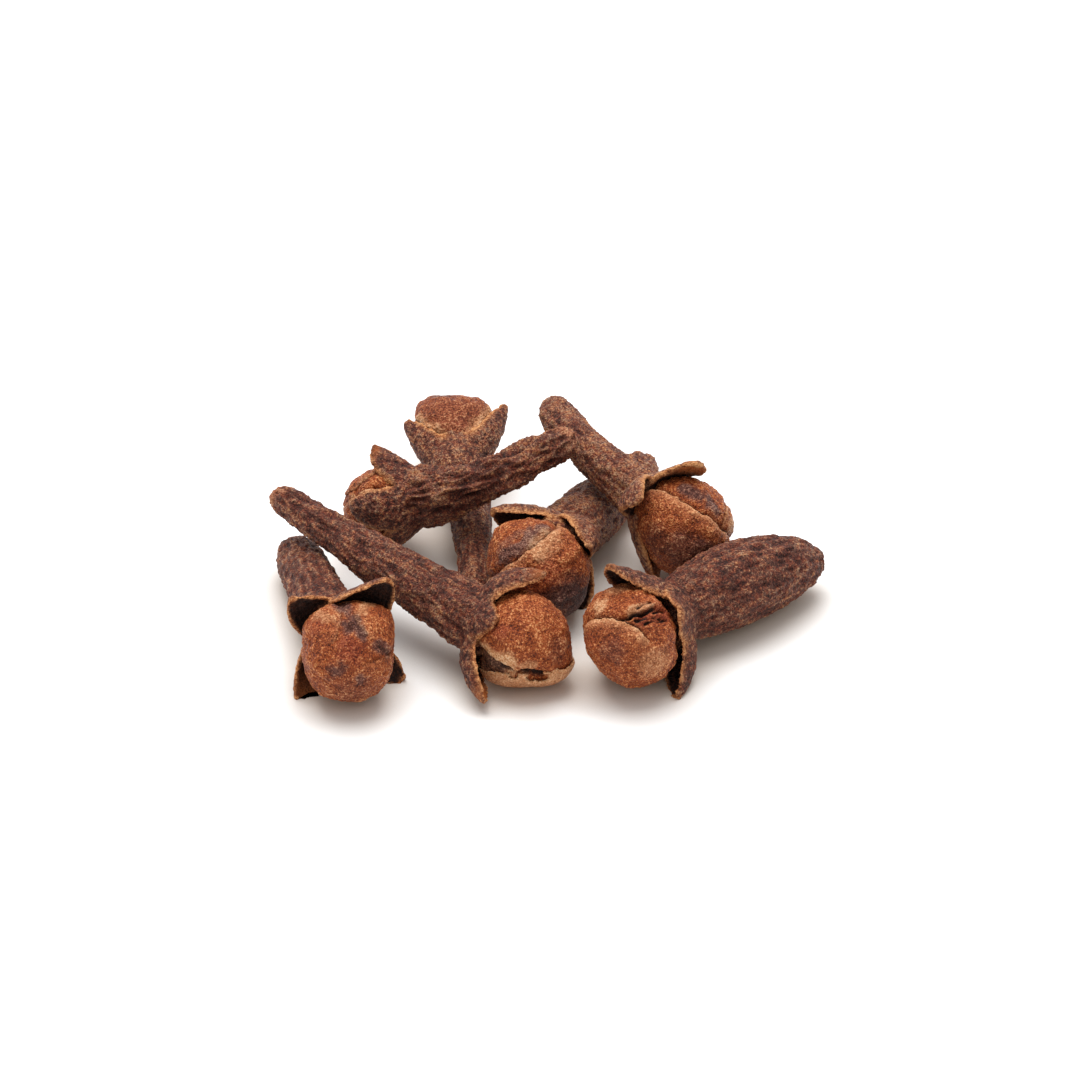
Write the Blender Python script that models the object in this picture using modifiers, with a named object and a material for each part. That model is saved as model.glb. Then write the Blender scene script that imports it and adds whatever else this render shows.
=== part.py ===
"""A small heap of seven whole dried cloves, lying as they fell on a bare surface.

Each clove is one solid: a wrinkled stem that widens into a cup, four pointed lobes
round the cup, and the closed bud of overlapping petals that sits in it.

Frame: the heap's longest way is X, Y points to its back and Z up. The origin is in
the middle of the heap on the surface that it lies on. Sizes here are in millimetres
and are turned into metres by MM.
"""
import math
from collections import namedtuple

import bmesh
import bpy
from mathutils import Matrix, Vector, noise

MM = 0.001

# A clove has four stations along its axis, the middle of its bud, the collar where the
# lobes leave the stem, the stem's waist and the stem's end, each as (x, y, z), and a
# radius at each of them
Clove = namedtuple("Clove", "name bud collar waist end radii squash seed lobes bulges petals")

# A lobe stands at `turn` degrees round the clove, counted from its upper side. It leaves
# the cup at `opens` degrees from the axis and points `curls` degrees away at its tip.
# `taper` is 1 for a triangle and more for a strap, `hollow` is how far its edges rise,
# `twist` rolls it and `lean` bends it sideways by so many degrees
Lobe = namedtuple("Lobe", "turn opens curls length half_width taper hollow twist lean")

# A place on the bud is `tilt` degrees from its top and `turn` degrees round. A bulge
# lifts the skin there by `height`
Bulge = namedtuple("Bulge", "tilt turn height")

# A petal is a patch of the bud round such a place, and its edge is `reach` degrees away
Petal = namedtuple("Petal", "tilt turn reach")

CLOVES = (
    Clove(
        "clove_front_left",
        bud=(-9.3, -9.1, 2.60),
        collar=(-10.2, -6.4, 2.25),
        waist=(-11.2, -2.7, 1.75),
        end=(-12.1, 0.8, 1.30),
        radii=(2.33, 1.50, 1.32, 1.14),
        squash=1.0,
        seed=1,
        lobes=(
            Lobe(40, 60, 57, 2.8, 1.3, 1.8, 0.4, -9, 3),
            Lobe(-34, 54, 47, 3.6, 1.6, 1.9, 0.6, 6, -2),
            Lobe(141, 55, 54, 3.0, 1.2, 2.8, 0.6, 4, -5),
            Lobe(-134, 44, 57, 3.3, 1.4, 1.4, 0.4, -3, 5),
        ),
        bulges=(
            Bulge(72, -92, -0.2), Bulge(95, -50, 0.4), Bulge(116, 46, 0.2), Bulge(108, 88, -0.1),
            Bulge(85, 127, 0.1), Bulge(64, 168, 0.1),
        ),
        petals=(Petal(66, -174, 77), Petal(90, 50, 40), Petal(76, -46, 38)),
    ),
    Clove(
        "clove_long",
        bud=(-0.8, -7.7, 2.45),
        collar=(-3.4, -6.5, 2.75),
        waist=(-8.1, -2.5, 3.35),
        end=(-12.8, 1.5, 4.10),
        radii=(2.30, 1.60, 1.15, 0.75),
        squash=1.0,
        seed=2,
        lobes=(
            Lobe(-22, 71, -7, 3.5, 1.4, 2.2, 0.6, 2, -12),
            Lobe(46, 42, 22, 2.0, 1.4, 1.0, 0.4, -4, 0),
            Lobe(117, 75, 21, 3.6, 1.2, 2.5, 0.7, 9, -2),
            Lobe(-112, 26, 18, 2.6, 1.3, 1.6, 0.5, 0, 0),
        ),
        bulges=(
            Bulge(25, -77, -0.1), Bulge(66, -47, -0.3), Bulge(114, 133, 0.3), Bulge(30, 172, 0.3),
        ),
        petals=(Petal(73, -38, 132),),
    ),
    Clove(
        "clove_front_right",
        bud=(4.3, -8.0, 2.70),
        collar=(6.5, -5.5, 2.40),
        waist=(10.8, -1.9, 2.00),
        end=(12.7, -0.6, 1.75),
        radii=(2.50, 1.55, 1.92, 1.38),
        squash=1.0,
        seed=3,
        lobes=(
            Lobe(21, 40, 29, 4.3, 1.8, 1.7, 0.6, -9, 0),
            Lobe(-53, 25, 48, 2.8, 1.5, 2.1, 0.5, -4, 16),
            Lobe(-132, 73, 11, 3.7, 1.5, 1.2, 1.1, 6, -6),
            Lobe(120, 45, 50, 3.0, 1.4, 1.6, 0.5, 0, 0),
        ),
        bulges=(
            Bulge(131, -85, -0.5), Bulge(136, -22, -0.4), Bulge(49, 95, -0.2), Bulge(44, 158, -0.3),
        ),
        petals=(Petal(19, -126, 58),),
    ),
    Clove(
        "clove_middle",
        bud=(-0.3, -2.2, 2.65),
        collar=(1.1, 1.1, 2.20),
        waist=(2.7, 4.3, 1.60),
        end=(4.8, 8.0, 1.30),
        radii=(2.50, 1.60, 1.50, 1.20),
        squash=1.0,
        seed=4,
        lobes=(
            Lobe(48, 57, 19, 3.5, 1.5, 1.5, 0.8, -12, 9),
            Lobe(-51, 62, -8, 3.5, 1.4, 1.8, 0.8, -8, -17),
            Lobe(-149, 50, 40, 2.9, 1.2, 3.4, 0.5, -21, 3),
            Lobe(140, 40, 45, 3.2, 1.4, 1.6, 0.5, 0, 0),
        ),
        bulges=(
            Bulge(125, -37, -0.3), Bulge(115, 14, -0.1), Bulge(91, 54, 0.2), Bulge(67, 93, -0.1),
            Bulge(65, -166, 0.1), Bulge(89, -126, 0.2),
        ),
        petals=(Petal(87, -134, 114),),
    ),
    Clove(
        "clove_back_right",
        bud=(7.0, 0.8, 3.10),
        collar=(4.9, 2.4, 3.75),
        waist=(2.8, 4.3, 4.55),
        end=(0.7, 8.1, 4.80),
        radii=(2.40, 1.35, 1.06, 0.98),
        squash=1.0,
        seed=5,
        lobes=(
            Lobe(-22, 50, 48, 3.1, 1.3, 2.7, 0.1, -16, 24),
            Lobe(49, 108, 19, 3.4, 1.2, 2.0, 0.2, -8, 0),
            Lobe(145, 50, 28, 3.4, 1.7, 2.1, 0.5, -4, 9),
            Lobe(-95, 42, 48, 3.0, 1.4, 1.6, 0.5, 0, 0),
        ),
        bulges=(
            Bulge(80, -50, -0.1), Bulge(157, 16, 0.1), Bulge(104, 118, -0.2), Bulge(58, 147, -0.1),
        ),
        petals=(Petal(30, -73, 32), Petal(85, 125, 102)),
    ),
    Clove(
        "clove_back_left",
        bud=(-4.6, 9.7, 2.40),
        collar=(-4.3, 7.0, 2.10),
        waist=(-3.5, 2.9, 1.30),
        end=(-3.4, -1.7, 0.95),
        radii=(2.02, 1.45, 1.00, 0.85),
        squash=0.95,
        seed=6,
        lobes=(
            Lobe(-69, 34, 30, 2.7, 1.2, 1.4, 0.6, 6, 15),
            Lobe(72, 42, 17, 3.7, 1.2, 1.2, 0.6, -8, -7),
            Lobe(146, 31, 26, 3.2, 1.4, 1.6, 0.4, 3, 4),
            Lobe(-155, 34, 24, 3.1, 1.3, 1.8, 0.5, -4, 3),
        ),
        bulges=(
            Bulge(96, 89, 0.2), Bulge(67, 54, 0.4), Bulge(57, -52, 0.3), Bulge(84, -91, -0.3),
        ),
        petals=(Petal(61, 37, 93),),
    ),
    Clove(
        "clove_wrinkled",
        bud=(-8.0, 3.5, 2.75),
        collar=(-6.0, 2.9, 3.30),
        waist=(-2.6, 2.4, 4.75),
        end=(0.8, 3.7, 6.10),
        radii=(1.76, 1.50, 1.08, 0.88),
        squash=1.0,
        seed=7,
        lobes=(
            Lobe(14, 34, 46, 2.4, 1.1, 2.2, 0.5, -20, -2),
            Lobe(-77, 51, -20, 3.0, 1.2, 2.9, 0.3, 16, 23),
            Lobe(-150, 48, 10, 3.1, 1.5, 2.2, 0.5, 0, 0),
            Lobe(96, 36, 30, 3.0, 1.3, 1.6, 0.5, 0, 0),
        ),
        bulges=(
            Bulge(93, 33, -0.2), Bulge(52, 14, -0.2), Bulge(22, -50, 0.1), Bulge(46, -125, 0.3),
        ),
        petals=(Petal(57, 18, 45), Petal(104, -126, 84)),
    ),
)

# Stem: rings along it and of its rounded end. Past the collar it runs on as a cup, up to
# this share of the bud's radius short of the bud's middle
STEM_RINGS = 12
STEM_END_RINGS = 3
STEM_BEVEL_STEPS = 5
END_ROUNDING = 0.6
END_ROUND_REACH = 2.4
END_TAPER = 0.8
CUP_SHORT = 0.7
CUP_FLARE = 1.10
CUP_SHARE = 0.75

# Relief of the stem's wrinkles, in millimetres, and how long and how wide they are
WRINKLE_HEIGHT = 0.28
WRINKLE_LENGTH = 2.2
WRINKLE_WIDTH = 0.75

# Bud: mesh rings, degrees that a bulge reaches, the groove at the edge of a petal, and
# the crown of the petal above it
BUD_SEGMENTS = 22
BUD_RINGS = 15
BULGE_REACH = 27.0
PETAL_GROOVE = 0.30
PETAL_GROOVE_WIDTH = 9.0
PETAL_CROWN = 0.12
PETAL_CROWN_WIDTH = 5.0

# Lobe: cells along and across, thickness, how round its tip is, and the tip's width
LOBE_CELLS_ALONG = 6
LOBE_CELLS_ACROSS = 4
LOBE_THICKNESS = 0.38
LOBE_ROUNDING = 0.55
LOBE_TIP = 0.22
LOBE_ROOT = 0.85
LOBE_RISE = 0.25

# Points closer than this are joined, noise of each clove is taken so far apart, and
# edges sharper than this many degrees stay sharp
WELD_REACH = 0.01
NOISE_STEP = (7.3, 1.9, 4.1)
SHARP_ANGLE = 50.0

# Small offcuts of a union are dropped below this share of the clove's faces
SCRAP_SHARE = 0.2

# The block below the surface that gives each resting spot its flat
FLOOR_BLOCK = 60.0

BARK_COLOUR = (0.105, 0.050, 0.034, 1.0)
BUD_COLOUR = (0.340, 0.125, 0.045, 1.0)


def clear_scene():
    """Empties the scene of objects."""
    for thing in list(bpy.data.objects):
        bpy.data.objects.remove(thing, do_unlink=True)


def new_collection(name):
    """A fresh collection linked to the scene."""
    group = bpy.data.collections.new(name)
    bpy.context.scene.collection.children.link(group)
    return group


def new_material(name, colour, roughness):
    """A plain Principled material."""
    material = bpy.data.materials.new(name)
    material.use_nodes = True
    shader = material.node_tree.nodes["Principled BSDF"]
    shader.inputs["Base Color"].default_value = colour
    shader.inputs["Roughness"].default_value = roughness
    shader.inputs["Metallic"].default_value = 0.0
    return material


def new_object(name, mesh, group, material):
    """An object of a mesh, in a collection, with one material."""
    thing = bpy.data.objects.new(name, mesh)
    mesh.materials.clear()
    mesh.materials.append(material)
    group.objects.link(thing)
    return thing


def axes_of(clove):
    """The clove's own axes: along it to the bud's top, to its upper side, and across."""
    along = (Vector(clove.bud) - Vector(clove.collar)).normalized()
    upper = (Vector((0, 0, 1)) - along * along.z).normalized()
    return along, upper, along.cross(upper)


def stem_point(clove, t):
    """Middle and radius of the stem at t, 0 at the collar and 1 at its end."""
    stations = [Vector(p) for p in (clove.collar, clove.waist, clove.end)]
    near = (stations[1] - stations[0]).length
    far = (stations[2] - stations[1]).length
    w = near / (near + far)
    weights = ((t - w) * (t - 1) / w, t * (t - 1) / (w * (w - 1)), t * (t - w) / (1 - w))
    place = sum((p * weight for p, weight in zip(stations, weights)), Vector())
    radius = sum(r * w for r, w in zip(clove.radii[1:], weights))
    return place, radius


def stem_rings(clove):
    """Places and radii of the stem's rings, from inside the bud to its rounded end."""
    along = axes_of(clove)[0]
    bud_radius, collar_radius = clove.radii[:2]
    cup_radius = min(collar_radius * CUP_FLARE, bud_radius * CUP_SHARE)
    rings = [(Vector(clove.bud) - along * bud_radius * CUP_SHORT, cup_radius)]
    length = (Vector(clove.end) - Vector(clove.collar)).length
    end_span = END_ROUNDING * clove.radii[3] / length
    for i in range(STEM_RINGS + 1):
        rings.append(stem_point(clove, (1 - end_span) * i / STEM_RINGS))
    for i in range(1, STEM_END_RINGS + 1):
        step = i / STEM_END_RINGS
        place, radius = stem_point(clove, 1 + end_span * (END_ROUND_REACH * step - 1))
        rings.append((place, radius * math.sqrt(1 - END_TAPER * step * step)))
    return rings


def make_stem(clove, group, material):
    """The stem as a tube of changing thickness, with wrinkles along it."""
    curve = bpy.data.curves.new(clove.name + "_stem", "CURVE")
    curve.dimensions = "3D"
    curve.bevel_depth = MM
    curve.bevel_resolution = STEM_BEVEL_STEPS
    curve.use_fill_caps = True
    rings = stem_rings(clove)
    spline = curve.splines.new("POLY")
    spline.points.add(len(rings) - 1)
    for point, (place, radius) in zip(spline.points, rings):
        point.co = (*(place * MM), 1.0)
        point.radius = radius
    tube = bpy.data.objects.new(clove.name + "_stem_curve", curve)
    group.objects.link(tube)
    bpy.context.view_layer.update()
    graph = bpy.context.evaluated_depsgraph_get()
    mesh = bpy.data.meshes.new_from_object(tube.evaluated_get(graph))
    bpy.data.objects.remove(tube, do_unlink=True)
    weld(mesh)
    wrinkle(mesh, clove)
    return new_object(clove.name + "_stem", mesh, group, material)


def weld(mesh):
    """Joins a tube's loose caps to its wall."""
    work = bmesh.new()
    work.from_mesh(mesh)
    bmesh.ops.remove_doubles(work, verts=work.verts, dist=WELD_REACH * MM)
    bmesh.ops.recalc_face_normals(work, faces=work.faces)
    work.to_mesh(mesh)
    work.free()


def wrinkle(mesh, clove):
    """Raises long ridges and sinks furrows along the stem."""
    along, upper, across = axes_of(clove)
    offset = Vector(NOISE_STEP) * clove.seed
    normals = [vertex.normal.copy() for vertex in mesh.vertices]
    for vertex, normal in zip(mesh.vertices, normals):
        place = vertex.co / MM
        sample = Vector((
            place.dot(along) / WRINKLE_LENGTH,
            place.dot(upper) / WRINKLE_WIDTH,
            place.dot(across) / WRINKLE_WIDTH,
        ))
        vertex.co += normal * WRINKLE_HEIGHT * noise.noise(sample + offset) * MM


def degrees_from(direction, spot, axes):
    """Degrees between a direction and a place on the bud."""
    along, upper, across = axes
    tilt, turn = math.radians(spot.tilt), math.radians(spot.turn)
    middle = along * math.cos(tilt)
    middle += (upper * math.cos(turn) + across * math.sin(turn)) * math.sin(tilt)
    return math.degrees(direction.angle(middle))


def bud_relief(direction, clove, axes):
    """Height of the bud's skin in a direction: bulges, and petals with grooves below."""
    height = 0.0
    for bulge in clove.bulges:
        height += bulge.height * math.exp(-((degrees_from(direction, bulge, axes) / BULGE_REACH) ** 2))
    for petal in reversed(clove.petals):
        inside = petal.reach - degrees_from(direction, petal, axes)
        if inside > 0:
            height += PETAL_CROWN * (1 - math.exp(-inside / PETAL_CROWN_WIDTH))
            break
        height -= PETAL_GROOVE * math.exp(inside / PETAL_GROOVE_WIDTH)
    return height


def make_bud(clove, group, material):
    """The closed bud: a ball with the overlapping edges of its petals."""
    axes = axes_of(clove)
    along, upper, across = axes
    radius = clove.radii[0]
    work = bmesh.new()
    bmesh.ops.create_uvsphere(work, u_segments=BUD_SEGMENTS, v_segments=BUD_RINGS, radius=1.0)
    turned = Matrix((across, upper, along)).transposed()
    middle = Vector(clove.bud)
    for vertex in work.verts:
        direction = (turned @ vertex.co).normalized()
        size = radius + bud_relief(direction, clove, axes)
        place = direction * size
        place.z *= clove.squash
        vertex.co = (middle + place) * MM
    bmesh.ops.recalc_face_normals(work, faces=work.faces)
    mesh = bpy.data.meshes.new(clove.name + "_bud")
    work.to_mesh(mesh)
    work.free()
    return new_object(clove.name + "_bud", mesh, group, material)


def lobe_stations(clove, lobe):
    """Middles along a lobe, each with the directions across it and towards the bud."""
    along, upper, across = axes_of(clove)
    turn = math.radians(lobe.turn)
    outward = upper * math.cos(turn) + across * math.sin(turn)
    side = along.cross(outward)
    place = Vector(clove.collar) + along * LOBE_RISE + outward * clove.radii[1] * LOBE_ROOT
    stations = []
    for i in range(LOBE_CELLS_ALONG + 1):
        t = i / LOBE_CELLS_ALONG
        angle = math.radians(lobe.opens + (lobe.curls - lobe.opens) * t)
        sway, roll = math.radians(lobe.lean) * t, math.radians(lobe.twist) * t
        straight = along * math.cos(angle) + outward * math.sin(angle)
        inward = along * math.sin(angle) - outward * math.cos(angle)
        ahead = straight * math.cos(sway) + side * math.sin(sway)
        level = side * math.cos(sway) - straight * math.sin(sway)
        flat = level * math.cos(roll) + inward * math.sin(roll)
        normal = inward * math.cos(roll) - level * math.sin(roll)
        stations.append((place, flat, normal))
        place = place + ahead * lobe.length / LOBE_CELLS_ALONG
    return stations


def make_lobe(clove, lobe, index, group, material):
    """A pointed lobe: a thin sheet, hollow towards the bud, that is given a thickness."""
    stations = lobe_stations(clove, lobe)
    work = bmesh.new()
    bmesh.ops.create_grid(work, x_segments=LOBE_CELLS_ACROSS, y_segments=LOBE_CELLS_ALONG, size=1.0)
    for vertex in work.verts:
        t = (vertex.co.y + 1) / 2
        place, flat, normal = stations[round(t * LOBE_CELLS_ALONG)]
        width = lobe.half_width * max((1 - t ** lobe.taper) ** LOBE_ROUNDING, LOBE_TIP)
        hollow = lobe.hollow * width * vertex.co.x ** 2
        vertex.co = (place + flat * width * vertex.co.x + normal * hollow) * MM
    mesh = bpy.data.meshes.new(f"{clove.name}_lobe_{index}")
    work.to_mesh(mesh)
    work.free()
    sheet = new_object(f"{clove.name}_lobe_{index}", mesh, group, material)
    shell = sheet.modifiers.new("Thickness", "SOLIDIFY")
    shell.thickness = LOBE_THICKNESS * MM
    shell.offset = 0.0
    shell.use_even_offset = True
    return sheet


def applied(thing):
    """The object's mesh with its modifiers worked in."""
    bpy.context.view_layer.update()
    graph = bpy.context.evaluated_depsgraph_get()
    return bpy.data.meshes.new_from_object(thing.evaluated_get(graph))


def drop_scraps(mesh):
    """Keeps the main body of a union and drops loose offcuts and sealed hollows."""
    work = bmesh.new()
    work.from_mesh(mesh)
    left = set(work.faces)
    total = len(left)
    scraps = []
    while left:
        island = []
        stack = [left.pop()]
        while stack:
            face = stack.pop()
            island.append(face)
            for edge in face.edges:
                for other in edge.link_faces:
                    if other in left:
                        left.remove(other)
                        stack.append(other)
        if len(island) < SCRAP_SHARE * total:
            scraps.extend(island)
    if scraps:
        bmesh.ops.delete(work, geom=scraps, context="FACES")
    bmesh.ops.triangulate(work, faces=work.faces)
    work.to_mesh(mesh)
    work.free()


def make_floor_block(group):
    """A block whose top face is the surface, to cut a flat where a clove rests on it."""
    bpy.ops.mesh.primitive_cube_add(size=FLOOR_BLOCK * MM, location=(0, 0, -FLOOR_BLOCK / 2 * MM))
    block = bpy.context.object
    block.name = "surface_block"
    for other in list(block.users_collection):
        other.objects.unlink(block)
    group.objects.link(block)
    block.display_type = "WIRE"
    block.hide_render = True
    return block


def make_clove(clove, heap, cutters, block, bark, skin):
    """One whole clove as one solid, resting spots cut flat."""
    pieces = new_collection(clove.name + "_pieces")
    stem = make_stem(clove, cutters, bark)
    make_bud(clove, pieces, skin)
    for index, lobe in enumerate(clove.lobes):
        make_lobe(clove, lobe, index, pieces, bark)
    union = stem.modifiers.new("Join", "BOOLEAN")
    union.operation = "UNION"
    union.operand_type = "COLLECTION"
    union.collection = pieces
    union.solver = "EXACT"
    union.material_mode = "TRANSFER"
    cut = stem.modifiers.new("Rest", "BOOLEAN")
    cut.operation = "DIFFERENCE"
    cut.object = block
    cut.solver = "EXACT"
    mesh = applied(stem)
    drop_scraps(mesh)
    mesh.name = clove.name
    body = bpy.data.objects.new(clove.name, mesh)
    heap.objects.link(body)
    for thing in list(pieces.objects) + [stem]:
        bpy.data.objects.remove(thing, do_unlink=True)
    bpy.data.collections.remove(pieces)
    mesh.shade_smooth()
    mesh.set_sharp_from_angle(angle=math.radians(SHARP_ANGLE))
    return body


def main():
    clear_scene()
    heap = new_collection("whole_cloves")
    cutters = new_collection("cutters")
    bark = new_material("clove_bark", BARK_COLOUR, 0.85)
    skin = new_material("clove_bud", BUD_COLOUR, 0.6)
    block = make_floor_block(cutters)
    for clove in CLOVES:
        make_clove(clove, heap, cutters, block, bark, skin)


main()
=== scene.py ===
"""The looks of a small heap of seven whole dried cloves on a plain pale floor.

Each clove is made of two pieces that stand for its solid: the skin of the stem with its
lobes, and the bud of overlapping petals. The longest clove has a third piece, the papery
shell that has come loose round its bud. Sizes are in millimetres and MM turns them into
metres. The places are those of the solids in the frame.
"""
import math
from collections import namedtuple

import bmesh
import bpy
import numpy as np
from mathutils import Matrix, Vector, kdtree, noise


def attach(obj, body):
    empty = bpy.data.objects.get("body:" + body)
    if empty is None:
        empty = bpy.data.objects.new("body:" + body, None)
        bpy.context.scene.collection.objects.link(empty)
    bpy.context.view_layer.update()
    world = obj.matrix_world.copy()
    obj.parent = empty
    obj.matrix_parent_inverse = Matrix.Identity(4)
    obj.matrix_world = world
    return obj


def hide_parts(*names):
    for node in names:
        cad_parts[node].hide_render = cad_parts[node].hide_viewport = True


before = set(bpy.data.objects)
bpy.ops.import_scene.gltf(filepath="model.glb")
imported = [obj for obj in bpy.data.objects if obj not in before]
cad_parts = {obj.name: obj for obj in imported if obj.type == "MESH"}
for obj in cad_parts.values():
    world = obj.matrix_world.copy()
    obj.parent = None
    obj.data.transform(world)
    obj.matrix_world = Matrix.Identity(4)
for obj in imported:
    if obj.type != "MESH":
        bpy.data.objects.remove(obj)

MM = 0.001
BODY = "root"

# Middle of a bud, collar where the lobes leave the stem, waist and end of the stem, and
# the radius at each. `squash` flattens the bud, `rough` scales the wrinkles, `torn` is
# how raw the stem's end is and a higher `shade` makes the clove's stem lighter: partly its
# own tone and partly painted light on stems that sit in shade
Clove = namedtuple(
    "Clove",
    "node bud collar waist end radii seed rough shade lobes bulges petals stains"
    " squash torn cracks shell",
    defaults=(1.0, 0.0, (), None),
)

# A lobe stands at `turn` degrees round the clove from its upper side, leaves the cup at
# `opens` degrees from the axis and points `curls` degrees away at its tip. `taper` is 1
# for a triangle and more for a strap, `hollow` is how far its edges rise, `twist` rolls
# it and `lean` bends it sideways by so many degrees. `glow` is how orange its inside is,
# partly its own orange and partly painted light on its lit face
Lobe = namedtuple(
    "Lobe", "turn opens curls length half_width taper hollow twist lean glow", defaults=(0.0,)
)

# A place on the bud is `tilt` degrees from its top and `turn` degrees round it. Bulges of
# its skin are (tilt, turn, height). A petal is a cap round a place out to `reach` degrees,
# with an edge that is pale by `paleness`, partly its own paler lip and partly a painted
# highlight on it, stands `step` high and is seen only round a place on it, the `seam`
# (tilt, turn, span)
Petal = namedtuple("Petal", "tilt turn reach paleness step seam", defaults=(0.4, 1.0, None))

# A stain darkens, reddens or bleaches a patch, or a band that runs on to a second place.
# An "under" stain does so only on the lowest layer. A "pale" stain is partly bleached skin
# and partly a painted highlight, such as the sheen on the middle clove's right petal
Stain = namedtuple("Stain", "kind tilt turn reach strength end", defaults=(None,))

# A crack runs between two places. With a depth below 0 it is a ridge. `dark` is how black
# painted shade makes it inside
Crack = namedtuple("Crack", "start end depth width dark", defaults=(2.0, 1.0))

# A papery petal that stands off the bud, with notches in its edge as (tilt, turn, reach)
Shell = namedtuple("Shell", "tilt turn reach radius thickness bulges notches")

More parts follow.
